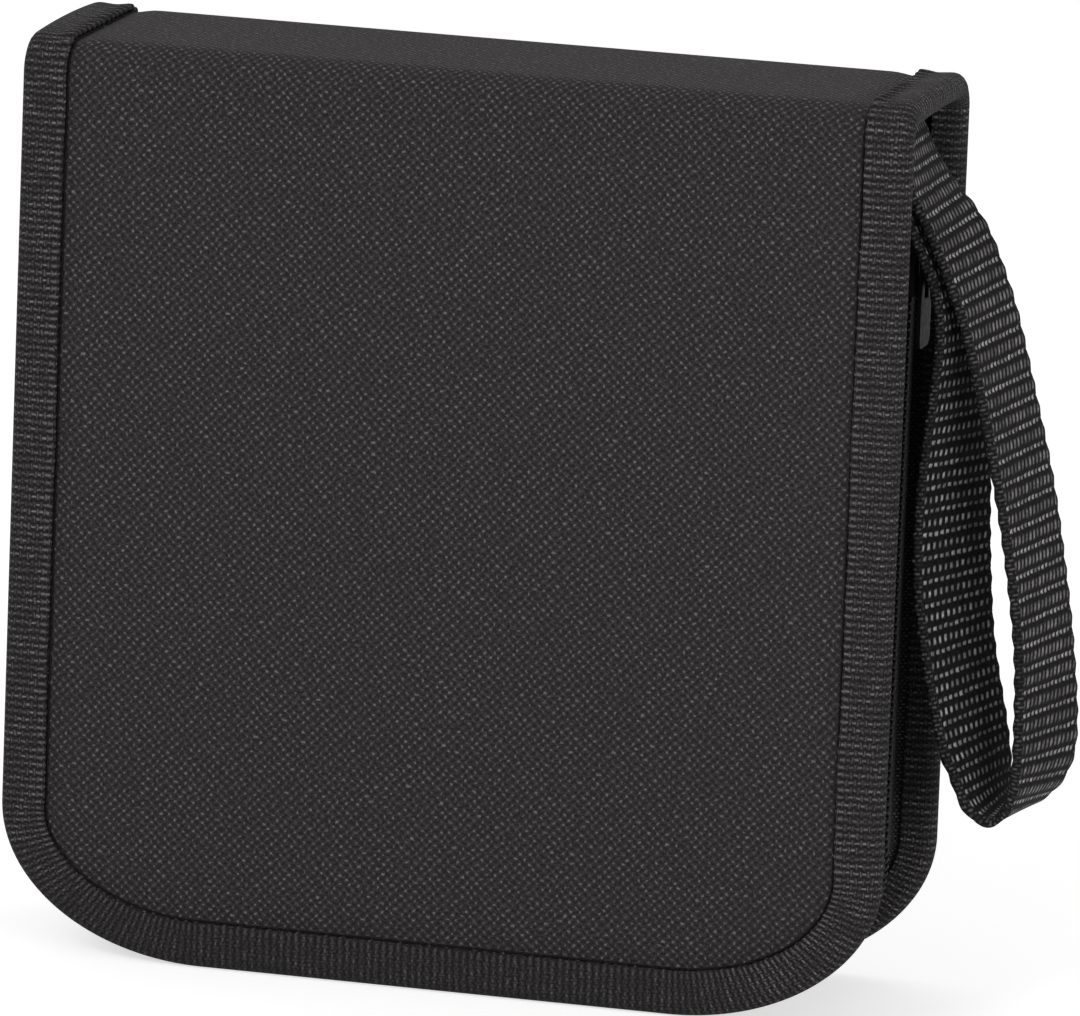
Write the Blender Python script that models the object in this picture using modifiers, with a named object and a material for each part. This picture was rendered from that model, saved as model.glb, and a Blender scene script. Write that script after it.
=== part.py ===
"""A soft zip-around storage wallet for discs, closed and standing on its zip side.

The spine is on top, the front cover faces -Y and the hand strap hangs at +X.
All sizes are in metres. Two coordinates place everything at a cover's edge: inset is
the distance inwards from the case's outline, and depth is the distance inwards from
the plane of the cover's outer face.
"""

import math

import bmesh
import bpy
import numpy as np
from mathutils import Matrix, Vector

# Outer sizes of the closed case
case_width = 0.156
case_height = 0.1595
case_depth = 0.044
corner_run = 0.0365
corner_rise = 0.0262
spine_radius = 0.0063
corner_segments = 8
spine_segments = 5

# Thicknesses of the layers, and the clearance kept between two of them
binding_thickness = 0.0009
fabric_thickness = 0.0007
lining_thickness = 0.0005
padding_thickness = 0.0018
board_thickness = 0.0014
zip_tape_thickness = 0.0007
seam_gap = 0.0003

# Binding tape, folded over the edges of the covers and over the ends of the spine
binding_outer_leg = 0.0075
binding_inner_leg = 0.0060
binding_fold_radius = 0.0010

# The cloth rises from the seam to the face over the padding
face_below_binding = 0.0004
cloth_rise_run = 0.0035
board_inset = 0.0122

# Fold between the front cover and the spine
hinge_gap = 0.0006

# Zip
zip_wall_inset = 0.0060
zip_foot_inset = 0.0078
zip_end_drop = 0.0074
zip_half_gap = 0.00055
coil_width = 0.0026
coil_height = 0.00145
coil_pitch = 0.0030
coil_tooth = 0.0009
coil_to_tape = 0.00025

# Slider, with the bridge that holds the pull tab
slider_width = 0.0096
slider_length = 0.0105
slider_drop = 0.0245
slider_plate = 0.0012
slider_lip = 0.0008
slider_clearance = 0.0003
slider_blade = 0.0005
bridge_width = 0.0018
bridge_length = 0.0080
bridge_bar = 0.0009
bridge_tunnel = 0.0013
bridge_foot = 0.0014

# Pull tab
tab_width = 0.0074
tab_length = 0.0165
tab_thickness = 0.0008
tab_bar = 0.0007
tab_window = 0.0026

# Sleeve pages and the strip that binds them to the spine
pages_clearance = 0.0015
pages_inset = 0.0112
page_groove = 0.0009
page_count = 12
strip_thickness = 0.0012
strip_margin = 0.0025

# Hand strap: its route from the sewn end over the outer leg and back up the inner leg. Each
# place has x counted from the case's side, the drop below the case's top, and the turn in
# degrees that moves the webbing's back edge outwards on the way down.
strap_width = 0.0200
strap_thickness = 0.0015
strap_rib_pitch = 0.0040
strap_rib_height = 0.00020
strap_steps_per_rib = 4
strap_route = (
    (-0.0093, 0.0062, 0), (-0.0052, 0.0063, 0), (-0.0017, 0.0075, 0), (-0.0003, 0.0110, 2),
    (0.0001, 0.0145, 5), (0.0007, 0.0180, 8), (0.0024, 0.0222, 11), (0.0048, 0.0268, 13),
    (0.0077, 0.0335, 13), (0.0101, 0.0402, 13), (0.0138, 0.0537, 13), (0.0171, 0.0673, 14),
    (0.0197, 0.0809, 14), (0.0217, 0.0947, 15), (0.0226, 0.1085, 18), (0.0221, 0.1155, 16),
    (0.0198, 0.1208, 8), (0.0162, 0.1232, 0), (0.0131, 0.1208, -9), (0.0114, 0.1150, -17),
    (0.0098, 0.1096, -22), (0.0068, 0.0959, -24), (0.0051, 0.0821, -27), (0.0047, 0.0682, -25),
    (0.0052, 0.0545, -20), (0.0055, 0.0415, -15), (0.0040, 0.0325, -11), (0.0016, 0.0260, -9),
    (-0.0010, 0.0202, -6), (-0.0021, 0.0160, -3), (-0.0026, 0.0130, -1), (-0.0045, 0.0107, 0),
    (-0.0093, 0.0095, 0),
)

# Colours (linear) of the materials
cloth_black = (0.030, 0.029, 0.029)
tape_black = (0.026, 0.025, 0.025)
webbing_black = (0.034, 0.033, 0.033)
lining_black = (0.018, 0.018, 0.018)
board_grey = (0.200, 0.190, 0.175)
foam_grey = (0.120, 0.120, 0.120)
coil_black = (0.022, 0.022, 0.022)
metal_grey = (0.110, 0.110, 0.115)
page_grey = (0.060, 0.060, 0.062)

# Values worked out from the sizes above
half_width = case_width / 2
half_depth = case_depth / 2
hinge_height = case_height - spine_radius
cover_top = hinge_height - hinge_gap
zip_end_height = hinge_height - zip_end_drop
slider_bottom = case_height - slider_drop - slider_length

fabric_edge = binding_thickness + seam_gap + fabric_thickness / 2
lining_edge = fabric_edge + fabric_thickness / 2 + seam_gap + lining_thickness / 2
zip_leg_depth = lining_edge + lining_thickness / 2 + seam_gap + zip_tape_thickness / 2
binding_depth = zip_leg_depth + zip_tape_thickness / 2 + seam_gap + binding_thickness
fabric_face = face_below_binding + fabric_thickness / 2
padding_depth = face_below_binding + fabric_thickness + seam_gap
board_depth = padding_depth + padding_thickness + seam_gap
lining_face = board_depth + board_thickness + seam_gap + lining_thickness / 2
cover_thickness = lining_face + lining_thickness / 2
pages_thickness = case_depth - 2 * cover_thickness - 2 * pages_clearance

first_inset = binding_thickness + seam_gap
cloth_rise_start = binding_outer_leg + seam_gap
lining_step_start = zip_foot_inset + zip_tape_thickness / 2 + lining_thickness / 2 + 2 * seam_gap
lining_step_end = board_inset - lining_thickness - 2 * seam_gap

coil_outer_inset = zip_wall_inset - zip_tape_thickness / 2 - coil_to_tape - coil_height
slider_outer_inset = coil_outer_inset - slider_clearance - slider_plate
slider_inner_inset = zip_wall_inset + zip_tape_thickness / 2 + slider_clearance
tab_inset = slider_outer_inset - bridge_tunnel / 2
tab_pivot_height = slider_bottom + slider_length / 2 + bridge_length / 2 - bridge_foot - tab_bar


def case_material(name, colour, roughness, metallic=0.0):
    material = bpy.data.materials.new(name)
    material.use_nodes = True
    shader = material.node_tree.nodes["Principled BSDF"]
    shader.inputs["Base Color"].default_value = (*colour, 1.0)
    shader.inputs["Roughness"].default_value = roughness
    shader.inputs["Metallic"].default_value = metallic
    material.diffuse_color = (*colour, 1.0)
    return material


def rim_stations(left_top, right_top, step=None):
    """Stations down the left side, along the bottom and up the right side of a cover."""
    quarter = math.pi / 4 * (corner_run + corner_rise)

    def parts(length, least):
        return least if step is None else max(least, round(length / step))

    corner_parts = parts(quarter, corner_segments)
    straight = half_width - corner_run
    stations = [("left", z) for z in np.linspace(left_top, corner_rise, parts(left_top, 1) + 1)[:-1]]
    stations += [("left_corner", a) for a in np.linspace(0, math.pi / 2, corner_parts + 1)]
    stations += [("bottom", x) for x in np.linspace(-straight, straight, parts(2 * straight, 1) + 1)[1:-1]]
    stations += [("right_corner", a) for a in np.linspace(0, math.pi / 2, corner_parts + 1)]
    stations += [("right", z) for z in np.linspace(corner_rise, right_top, parts(right_top, 1) + 1)[1:]]
    return stations


def rim_point(station, inset):
    """The place of a station, in width and height, on the outline moved in by inset."""
    kind, value = station
    middle = half_width - corner_run
    run = corner_run - inset
    rise = corner_rise - inset
    if kind == "left":
        return inset - half_width, value
    if kind == "left_corner":
        return -middle - run * math.cos(value), corner_rise - rise * math.sin(value)
    if kind == "bottom":
        return value, inset
    if kind == "right_corner":
        return middle + run * math.sin(value), corner_rise - rise * math.cos(value)
    return half_width - inset, value


def cover_point(station, inset, depth, side):
    """A point of the front (side -1) or back (side +1) cover."""
    x, z = rim_point(station, inset)
    return x, side * (half_depth - depth), z


def spine_angles():
    """Angles round the spine's section, from the back cover over the top to the front cover."""
    quarter = np.linspace(0, math.pi / 2, spine_segments + 1)
    return [("back", a) for a in quarter] + [("front", a + math.pi / 2) for a in quarter]


def spine_point(place, x, depth):
    """A point of the spine's section, moved in by depth from its outer face."""
    side, angle = place
    centre = half_depth - spine_radius if side == "back" else spine_radius - half_depth
    radius = spine_radius - depth
    return x, centre + radius * math.cos(angle), hinge_height + radius * math.sin(angle)


def make_object(name, mesh, material, parent=None):
    thing = bpy.data.objects.new(name, mesh)
    thing.data.materials.append(material)
    case_collection.objects.link(thing)
    hang_from(thing, parent or case_frame)
    return thing


def hang_from(thing, parent):
    """Parents a thing whose mesh is in the case's own coordinates."""
    thing.parent = parent
    if parent is not case_frame:
        thing.matrix_parent_inverse = Matrix.Translation(-parent.location)


def mesh_from(name, points, faces):
    mesh = bpy.data.meshes.new(name)
    mesh.from_pydata([tuple(p) for p in points], [], faces)
    mesh.update()
    return mesh


def thicken(thing, thickness):
    modifier = thing.modifiers.new("thickness", "SOLIDIFY")
    modifier.thickness = thickness
    modifier.offset = 0.0
    modifier.use_even_offset = True
    thing.data.shade_smooth()
    thing.data.set_sharp_from_angle(angle=math.radians(50))
    return thing


def grid_faces(rows, columns, first=0):
    faces = []
    for row in range(rows - 1):
        for column in range(columns - 1):
            a = first + row * columns + column
            faces.append((a, a + 1, a + columns + 1, a + columns))
    return faces


def swept_strip(name, rows, thickness, material, parent=None):
    """A strip of cloth or tape through rows of points, given its thickness by Solidify."""
    points = [p for row in rows for p in row]
    thing = make_object(name, mesh_from(name, points, grid_faces(len(rows), len(rows[0]))), material, parent)
    return thicken(thing, thickness)


def cover_cloth(name, rings, thickness, side, with_spine, material, parent=None):
    """A cloth over a cover, as rings from its edge to its face, and over the spine if asked."""
    top = hinge_height if with_spine else cover_top
    stations = rim_stations(top, top)
    columns = len(rings)
    points = [cover_point(s, inset, depth, side) for s in stations for inset, depth in rings]
    faces = grid_faces(len(stations), columns)
    face_loop = [row * columns + columns - 1 for row in range(len(stations))]
    faces.append(tuple(face_loop))
    if with_spine:
        last_row = (len(stations) - 1) * columns
        row_below = list(range(columns)) + [last_row + k for k in reversed(range(columns))]
        for place in spine_angles()[1:]:
            start = len(points)
            points += [spine_point(place, inset - half_width, depth) for inset, depth in rings]
            points += [spine_point(place, half_width - inset, depth) for inset, depth in reversed(rings)]
            row_above = list(range(start, len(points)))
            for k in range(2 * columns - 1):
                faces.append((row_below[k], row_above[k], row_above[k + 1], row_below[k + 1]))
            row_below = row_above
    thing = make_object(name, mesh_from(name, points, faces), material, parent)
    make_faces_agree(thing)
    return thicken(thing, thickness)


def make_faces_agree(thing):
    work = bmesh.new()
    work.from_mesh(thing.data)
    bmesh.ops.recalc_face_normals(work, faces=work.faces)
    work.to_mesh(thing.data)
    work.free()


def eased(start, end, share):
    """A smooth step from start to end."""
    return start + (end - start) * (1 - math.cos(math.pi * share)) / 2


def cloth_rings(first_depth, face_depth, rise_start, rise_end, steps):
    """Rings that stay at the edge's depth under the tape, then ease to the face's depth."""
    rings = [(first_inset, first_depth)]
    for k in range(steps + 1):
        share = k / steps
        inset = rise_start + (rise_end - rise_start) * share
        rings.append((inset, eased(first_depth, face_depth, share)))
    return rings


def slab(name, inset, top, depth, thickness, side, material, parent=None):
    """A flat layer inside a cover, with the cover's outline moved in by inset."""
    stations = rim_stations(top, top)
    points = [cover_point(s, inset, depth + thickness / 2, side) for s in stations]
    thing = make_object(name, mesh_from(name, points, [tuple(range(len(points)))]), material, parent)
    return thicken(thing, thickness)


def box(name, size, centre, material, parent=None, bevel=0.0):
    work = bmesh.new()
    bmesh.ops.create_cube(work, size=1.0)
    bmesh.ops.scale(work, vec=Vector(size), verts=work.verts)
    bmesh.ops.translate(work, vec=Vector(centre), verts=work.verts)
    mesh = bpy.data.meshes.new(name)
    work.to_mesh(mesh)
    work.free()
    thing = make_object(name, mesh, material, parent)
    if bevel > 0:
        rounding = thing.modifiers.new("rounding", "BEVEL")
        rounding.width = bevel
        rounding.segments = 2
    return thing


def arc(centre, radius, start, end, steps):
    """Points on a circular arc, angles in degrees."""
    angles = np.radians(np.linspace(start, end, steps + 1))
    return [(centre[0] + radius * math.cos(a), centre[1] + radius * math.sin(a)) for a in angles]


def binding_section():
    """The folded tape's middle line: outer leg, flat edge and inner leg, as (inset, depth)."""
    half = binding_thickness / 2
    r = binding_fold_radius
    near = (half + r, half + r)
    far = (half + r, binding_depth - half - r)
    section = [(binding_outer_leg, half)]
    section += arc(near, r, 270, 180, 3)
    section += arc(far, r, 180, 90, 3)
    section.append((binding_inner_leg, binding_depth - half))
    return section


def zip_section():
    """The zip tape's middle line: sewn leg, bend, and wall that leans out to the coil."""
    wall_end = half_depth - zip_half_gap - seam_gap / 2
    bend = zip_foot_inset - zip_leg_depth / 4
    return [
        (first_inset + seam_gap, zip_leg_depth),
        (bend, zip_leg_depth),
        (zip_foot_inset - seam_gap, zip_leg_depth + zip_tape_thickness / 2),
        (zip_foot_inset, zip_leg_depth + 2 * zip_tape_thickness),
        ((zip_foot_inset + zip_wall_inset) / 2, half_depth / 2),
        (zip_wall_inset, wall_end - coil_width),
        (zip_wall_inset, wall_end),
    ]


def front_binding():
    section = binding_section()
    rows = [[cover_point(s, u, v, -1) for u, v in section] for s in rim_stations(cover_top, cover_top)]
    return swept_strip("front_binding_tape", rows, binding_thickness, tape_material, front_hinge)


def back_binding():
    """The tape from the front fold over the spine's left end, round the back cover and over the right end."""
    section = binding_section()
    over = spine_angles()
    rows = [[spine_point(p, u - half_width, v) for u, v in section] for p in reversed(over[1:])]
    rows += [[cover_point(s, u, v, 1) for u, v in section] for s in rim_stations(hinge_height, hinge_height)]
    rows += [[spine_point(p, half_width - u, v) for u, v in section] for p in over[1:]]
    return swept_strip("back_binding_tape", rows, binding_thickness, tape_material)


def zip_tape(name, side, right_top, parent=None):
    section = zip_section()
    rows = [[cover_point(s, u, v, side) for u, v in section] for s in rim_stations(zip_end_height, right_top)]
    return swept_strip(name, rows, zip_tape_thickness, zip_tape_material, parent)


def zip_coil(name, side, right_top, parent=None):
    """A row of teeth along the tape's edge, as a bar whose inner side runs in and out."""
    stations = rim_stations(zip_end_height, right_top, coil_pitch / 2)
    head = half_depth - zip_half_gap
    root = head - coil_width
    inner = coil_outer_inset + coil_height
    points = []
    for index, station in enumerate(stations):
        reach = head - (coil_tooth if index % 2 else 0.0)
        for inset, depth in ((inner, root), (coil_outer_inset, root), (coil_outer_inset, reach), (inner, reach)):
            points.append(cover_point(station, inset, depth, side))
    faces = []
    for row in range(len(stations) - 1):
        for k in range(4):
            a = 4 * row + k
            b = 4 * row + (k + 1) % 4
            faces.append((a, b, b + 4, a + 4))
    faces.append((0, 1, 2, 3))
    faces.append(tuple(len(points) - 4 + k for k in range(4)))
    thing = make_object(name, mesh_from(name, points, faces), coil_material, parent)
    make_faces_agree(thing)
    return thing


def flat_shape(name, outlines, thickness, placing):
    """A filled flat outline, with any holes, made a mesh of the given thickness."""
    curve = bpy.data.curves.new(name, "CURVE")
    curve.dimensions = "2D"
    curve.fill_mode = "BOTH"
    curve.extrude = thickness / 2
    for outline in outlines:
        spline = curve.splines.new("POLY")
        spline.points.add(len(outline) - 1)
        for point, (a, b) in zip(spline.points, outline):
            point.co = (a, b, 0.0, 1.0)
        spline.use_cyclic_u = True
    guide = bpy.data.objects.new(name, curve)
    case_collection.objects.link(guide)
    bpy.context.view_layer.update()
    evaluated = guide.evaluated_get(bpy.context.evaluated_depsgraph_get())
    mesh = bpy.data.meshes.new_from_object(evaluated)
    bpy.data.objects.remove(guide)
    bpy.data.curves.remove(curve)
    mesh.name = name
    work = bmesh.new()
    work.from_mesh(mesh)
    bmesh.ops.remove_doubles(work, verts=work.verts, dist=1e-6)
    bmesh.ops.transform(work, matrix=placing, verts=work.verts)
    bmesh.ops.recalc_face_normals(work, faces=work.faces)
    work.to_mesh(mesh)
    work.free()
    mesh.materials.clear()
    return mesh


def axes_matrix(first, second, origin):
    """The matrix that lays an outline's two directions along two of the case's axes."""
    a = Vector(first)
    b = Vector(second)
    matrix = Matrix((a, b, a.cross(b))).transposed().to_4x4()
    matrix.translation = Vector(origin)
    return matrix


def slider():
    """The slider's two plates and the blade between them, with the bridge on the outer plate."""
    half = slider_width / 2
    blade = slider_blade / 2
    plate_in = slider_inner_inset + slider_plate
    lip = coil_height - coil_to_tape
    plate_face = slider_outer_inset + slider_plate
    profile = [
        (half, slider_outer_inset), (half, plate_face + lip), (half - slider_lip, plate_face + lip),
        (half - slider_lip, plate_face), (blade, plate_face), (blade, slider_inner_inset),
        (half, slider_inner_inset), (half, plate_in),
    ]
    profile += [(-a, b) for a, b in reversed(profile)]
    outline = [(a, half_width - b) for a, b in profile]
    middle = slider_bottom + slider_length / 2
    placing = axes_matrix((0, 1, 0), (1, 0, 0), (0, 0, middle))
    body = make_object("zip_slider", flat_shape("zip_slider", [outline], slider_length, placing), metal_material)
    rounding = body.modifiers.new("rounding", "BEVEL")
    rounding.width = slider_clearance / 2
    rounding.segments = 1
    rounding.limit_method = "ANGLE"

    low = middle - bridge_length / 2
    high = middle + bridge_length / 2
    plate = half_width - slider_outer_inset
    sunk = plate - slider_plate / 3
    inside = plate + bridge_tunnel
    crown = inside + bridge_bar
    arch = [
        (sunk, low), (inside, low), (crown, low + bridge_foot / 2), (crown, high - bridge_foot / 2),
        (inside, high), (sunk, high), (sunk, high - bridge_foot), (inside, high - bridge_foot),
        (inside, low + bridge_foot), (sunk, low + bridge_foot),
    ]
    arch_placing = axes_matrix((1, 0, 0), (0, 0, 1), (0, 0, 0))
    bridge = bpy.data.objects.new("bridge_shape", flat_shape("bridge_shape", [arch], bridge_width, arch_placing))
    cutter_collection.objects.link(bridge)
    bridge.parent = case_frame
    bridge.hide_render = True
    bridge.display_type = "WIRE"
    union = body.modifiers.new("bridge", "BOOLEAN")
    union.operation = "UNION"
    union.solver = "EXACT"
    union.object = bridge
    return body


def pull_tab():
    """A flat tab whose top bar runs through the slider's bridge."""
    half = tab_width / 2
    window = tab_window / 2
    shoulder = tab_bar / 2
    window_end = -bridge_length
    tip = -tab_length
    corner = half / 2
    outline = [(-window - tab_bar, shoulder), (window + tab_bar, shoulder), (half, window_end)]
    outline += arc((half - corner, tip + corner), corner, 0, -90, 4)
    outline += arc((corner - half, tip + corner), corner, 270, 180, 4)
    outline.append((-half, window_end))
    hole = [(-window, -shoulder), (-window, window_end), (window, window_end), (window, -shoulder)]
    placing = axes_matrix((0, 1, 0), (0, 0, 1), (0, 0, 0))
    mesh = flat_shape("zip_pull_tab", [outline, hole], tab_thickness, placing)
    thing = bpy.data.objects.new("zip_pull_tab", mesh)
    mesh.materials.append(metal_material)
    case_collection.objects.link(thing)
    thing.parent = case_frame
    thing.location = (half_width - tab_inset, 0.0, tab_pivot_height)
    rounding = thing.modifiers.new("rounding", "BEVEL")
    rounding.width = tab_thickness / 5
    rounding.segments = 1
    rounding.limit_method = "ANGLE"
    return thing


def smooth_route(points, spacing):
    """A Catmull-Rom curve through the points, read at an even spacing along its length."""
    p = np.array(points)
    p = np.vstack([2 * p[0] - p[1], p, 2 * p[-1] - p[-2]])
    t = np.linspace(0, 1, 24, endpoint=False)[:, None]
    dense = []
    for a, b, c, d in zip(p[:-3], p[1:-2], p[2:-1], p[3:]):
        dense.append(0.5 * (2 * b + (c - a) * t + (2 * a - 5 * b + 4 * c - d) * t**2
                            + (3 * b - a - 3 * c + d) * t**3))
    dense = np.vstack(dense + [p[-2][None, :]])
    steps = np.linalg.norm(np.diff(dense[:, :2], axis=0), axis=1)
    length = np.concatenate([[0.0], np.cumsum(steps)])
    even = np.linspace(0, length[-1], round(length[-1] / spacing) + 1)
    return np.stack([np.interp(even, length, column) for column in dense.T], axis=-1)


def strap_rows():
    """A loop of webbing: a ribbon along the route, turned a little about it, with cross ribs."""
    route = smooth_route(strap_route, strap_rib_pitch / strap_steps_per_rib)
    route[:, 1] = case_height - route[:, 1]
    along = np.gradient(route[:, :2], axis=0)
    along /= np.linalg.norm(along, axis=1)[:, None]
    rows = []
    for index, ((x, z, turn), (dx, dz)) in enumerate(zip(route, along)):
        q = math.radians(turn)
        out = Vector((-dz, 0.0, dx))
        across = Vector((0.0, math.cos(q), 0.0)) + out * math.sin(q)
        normal = out * math.cos(q) - Vector((0.0, math.sin(q), 0.0))
        rib = strap_rib_height * math.cos(2 * math.pi * index / strap_steps_per_rib)
        middle = Vector((half_width + x, 0.0, z)) + normal * rib
        rows.append([middle + across * (strap_width * k) for k in (-0.5, 0.5)])
    return rows


def sleeve_pages():
    """The block of sleeve pages, with a groove between one page and the next round its edges."""
    top = case_height - cover_thickness - strip_thickness - 2 * seam_gap
    stations = rim_stations(top, top)
    leaf = pages_thickness / page_count
    levels = []
    for page in range(page_count):
        low = page * leaf - pages_thickness / 2
        levels += [(pages_inset, low + leaf * 0.1), (pages_inset, low + leaf * 0.9)]
        if page < page_count - 1:
            levels.append((pages_inset + page_groove, low + leaf))
    points = []
    for inset, y in levels:
        for station in stations:
            x, z = rim_point(station, inset)
            drop = inset - pages_inset
            points.append((x, y, min(z, top - drop)))
    count = len(stations)
    faces = []
    for row in range(len(levels) - 1):
        for k in range(count):
            a = row * count + k
            b = row * count + (k + 1) % count
            faces.append((a, b, b + count, a + count))
    faces.append(tuple(range(count)))
    faces.append(tuple(len(points) - count + k for k in range(count)))
    thing = make_object("disc_sleeve_pages", mesh_from("disc_sleeve_pages", points, faces), page_material)
    make_faces_agree(thing)
    return thing


def page_strip():
    top = case_height - cover_thickness - seam_gap
    size = (case_width - 2 * pages_inset - 2 * strip_margin, pages_thickness - 2 * strip_margin, strip_thickness)
    centre = (0.0, 0.0, top - strip_thickness / 2)
    return box("page_binding_strip", size, centre, lining_material)


def spine_inside():
    """The spine's stiffener and the padding over it."""
    width = case_width - 2 * board_inset
    depth = case_depth - 2 * spine_radius
    for name, place, thickness, material in (
        ("spine_padding", padding_depth, padding_thickness, foam_material),
        ("spine_board", board_depth, board_thickness, board_material),
    ):
        centre = (0.0, 0.0, case_height - place - thickness / 2)
        box(name, (width, depth, thickness), centre, material, bevel=thickness / 5)


for old in list(bpy.data.objects):
    bpy.data.objects.remove(old, do_unlink=True)

case_collection = bpy.data.collections.new("disc_storage_case")
cutter_collection = bpy.data.collections.new("cutters")
bpy.context.scene.collection.children.link(case_collection)
bpy.context.scene.collection.children.link(cutter_collection)

fabric_material = case_material("outer_cloth", cloth_black, 0.75)
tape_material = case_material("binding_tape", tape_black, 0.80)
webbing_material = case_material("strap_webbing", webbing_black, 0.70)
zip_tape_material = case_material("zip_tape_cloth", tape_black, 0.85)
lining_material = case_material("lining_cloth", lining_black, 0.85)
board_material = case_material("stiffener_board", board_grey, 0.90)
foam_material = case_material("padding_foam", foam_grey, 0.95)
coil_material = case_material("zip_coil_nylon", coil_black, 0.40)
metal_material = case_material("slider_metal", metal_grey, 0.35, 0.6)
page_material = case_material("sleeve_pages", page_grey, 0.70)

strap_points = strap_rows()
strap_reach = max(point.x for row in strap_points for point in row) + strap_thickness / 2 - half_width
case_frame = bpy.data.objects.new("case_frame", None)
case_frame.location = (-strap_reach / 2, 0.0, 0.0)
case_collection.objects.link(case_frame)
front_hinge = bpy.data.objects.new("front_cover_fold", None)
front_hinge.location = (0.0, -half_depth, cover_top)
front_hinge.parent = case_frame
case_collection.objects.link(front_hinge)

outer_rings = cloth_rings(fabric_edge, fabric_face, cloth_rise_start, cloth_rise_start + cloth_rise_run, 3)
lining_rings = cloth_rings(lining_edge, lining_face, lining_step_start, lining_step_end, 2)
cover_cloth("front_cover_fabric", outer_rings, fabric_thickness, -1, False, fabric_material, front_hinge)
cover_cloth("front_cover_lining", lining_rings, lining_thickness, -1, False, lining_material, front_hinge)
cover_cloth("back_and_spine_fabric", outer_rings, fabric_thickness, 1, True, fabric_material)
cover_cloth("back_and_spine_lining", lining_rings, lining_thickness, 1, True, lining_material)
for cover, side, holder in (("front", -1, front_hinge), ("back", 1, None)):
    slab(cover + "_cover_padding", board_inset, cover_top, padding_depth, padding_thickness, side, foam_material, holder)
    slab(cover + "_cover_board", board_inset, cover_top, board_depth, board_thickness, side, board_material, holder)
spine_inside()
front_binding()
back_binding()
front_zip_end = slider_bottom - seam_gap
zip_tape("front_zip_tape", -1, front_zip_end, front_hinge)
zip_tape("back_zip_tape", 1, zip_end_height)
zip_coil("front_zip_coil", -1, front_zip_end, front_hinge)
zip_coil("back_zip_coil", 1, zip_end_height)
slider()
pull_tab()
swept_strip("hand_strap", strap_points, strap_thickness, webbing_material)
sleeve_pages()
page_strip()
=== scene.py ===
import math

import bpy
import numpy as np
from mathutils import Matrix, Vector


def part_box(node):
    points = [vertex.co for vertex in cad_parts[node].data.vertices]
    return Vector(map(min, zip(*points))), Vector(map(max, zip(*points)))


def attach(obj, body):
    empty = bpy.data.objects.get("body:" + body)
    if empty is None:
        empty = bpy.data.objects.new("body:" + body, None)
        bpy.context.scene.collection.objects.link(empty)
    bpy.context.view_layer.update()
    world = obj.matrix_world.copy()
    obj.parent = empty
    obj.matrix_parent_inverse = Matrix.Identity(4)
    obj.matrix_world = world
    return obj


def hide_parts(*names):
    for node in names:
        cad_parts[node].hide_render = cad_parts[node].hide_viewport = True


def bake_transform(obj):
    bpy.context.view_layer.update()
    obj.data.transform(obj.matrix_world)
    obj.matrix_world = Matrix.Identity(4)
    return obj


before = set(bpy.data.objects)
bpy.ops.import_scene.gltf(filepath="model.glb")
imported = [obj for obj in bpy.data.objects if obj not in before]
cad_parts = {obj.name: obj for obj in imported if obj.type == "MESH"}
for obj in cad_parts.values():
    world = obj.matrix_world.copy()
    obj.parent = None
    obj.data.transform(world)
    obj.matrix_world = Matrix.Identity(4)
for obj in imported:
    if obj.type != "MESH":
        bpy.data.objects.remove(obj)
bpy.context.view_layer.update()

boxLow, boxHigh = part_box("back_binding_tape")
caseX = (boxLow[0] + boxHigh[0]) / 2  # the case's middle, because the strap makes the whole box longer
mm = 0.001
nearlyOne = 0.999  # keeps a share just short of its end

caseForm = {
    "width": 156 * mm, "height": 159.5 * mm, "depth": 44 * mm,
    "cornerRun": 36.5 * mm, "cornerRise": 26.2 * mm, "spineRadius": 6.3 * mm,
}
halfWidth = caseForm["width"] / 2
halfDepth = caseForm["depth"] / 2
hingeHeight = caseForm["height"] - caseForm["spineRadius"]


# Camera and lamps

cameraView = {
    "azimuth": 15.17, "elevation": 11.7, "roll": 2.12, "distance": 2.2958,
    "lens": 447.07, "sensor": 36, "near": 0.05, "far": 50,
    "aimHeight": 77.5 * mm, "aimRight": 10.2 * mm, "aimUp": 2.9 * mm,
}
studioLamps = {
    "keyLamp": {"place": (-0.75, -1.25, 1.15), "size": (0.9, 0.7), "power": 8.5},
    "fillLamp": {"place": (1.25, -1.15, 0.34), "size": (0.8, 0.8), "power": 8.2},
    "topLamp": {"place": (0.10, 0.35, 1.50), "size": (1.0, 0.8), "power": 2.3},
}
lampAim = (caseX, 0, 80 * mm)


def linkObject(name, data):
    item = bpy.data.objects.new(name, data)
    bpy.context.scene.collection.objects.link(item)
    return item


def placeCamera(view):
    # The camera stands back along its azimuth and elevation, rolled about that line, and turns to its aim
    azimuth, elevation, roll = (math.radians(view[k]) for k in ("azimuth", "elevation", "roll"))
    level = math.cos(elevation)
    back = Vector((math.sin(azimuth) * level, -math.cos(azimuth) * level, math.sin(elevation)))
    right = (-back).cross(Vector((0, 0, 1))).normalized()
    up = right.cross(-back)
    right, up = (right * math.cos(roll) + up * math.sin(roll),
                 up * math.cos(roll) - right * math.sin(roll))
    target = Vector((caseX, 0, view["aimHeight"]))
    place = target + back * view["distance"]
    ahead = (target + right * view["aimRight"] + up * view["aimUp"] - place).normalized()
    right = ahead.cross(up).normalized()
    up = right.cross(ahead)
    data = bpy.data.cameras.new("photoCamera")
    data.lens = view["lens"]
    data.sensor_width = view["sensor"]
    data.sensor_fit = "HORIZONTAL"
    data.clip_start = view["near"]
    data.clip_end = view["far"]
    camera = linkObject("photoCamera", data)
    turn = Matrix((right, up, -ahead)).transposed().to_4x4()
    camera.matrix_world = Matrix.Translation(place) @ turn
    bpy.context.scene.camera = camera


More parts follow.
